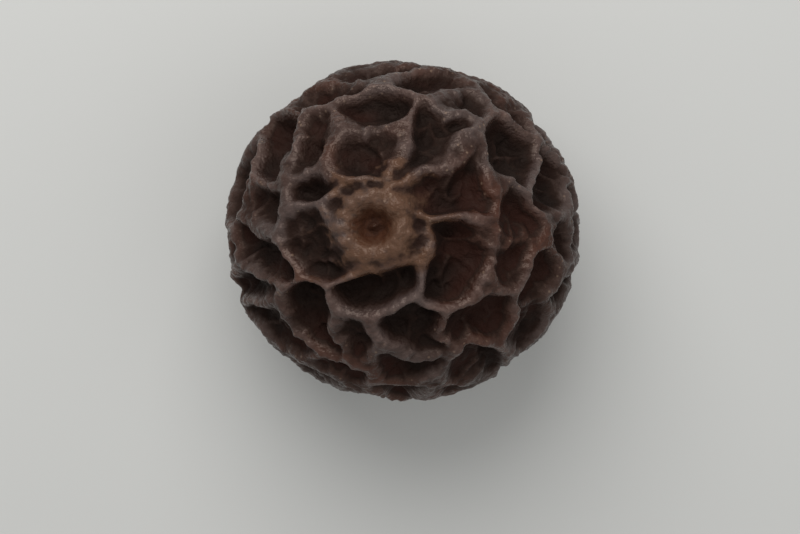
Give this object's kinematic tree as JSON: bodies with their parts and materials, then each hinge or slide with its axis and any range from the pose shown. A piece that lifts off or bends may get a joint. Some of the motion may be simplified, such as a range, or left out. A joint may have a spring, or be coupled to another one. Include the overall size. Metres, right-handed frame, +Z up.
{
  "type": "black peppercorn",
  "caption": "Dried black peppercorn: a round, wrinkled berry with a raised net of ridges and a stalk scar, resting on a small flat spot.",
  "frame": {"origin": "bottom centre: the middle of the small flat spot that the berry rests on", "axes": "+Z up, through the top where the stalk scar is, the shortest way through the berry; +X across its widest way, to the right in the picture; +Y up the picture"},
  "size_m": [0.005, 0.0048, 0.0047],
  "materials": {
    "dried_skin": "matte"
  },
  "bodies": {
    "root": {"peppercorn": "dried_skin"}
  },
  "joints": []
}
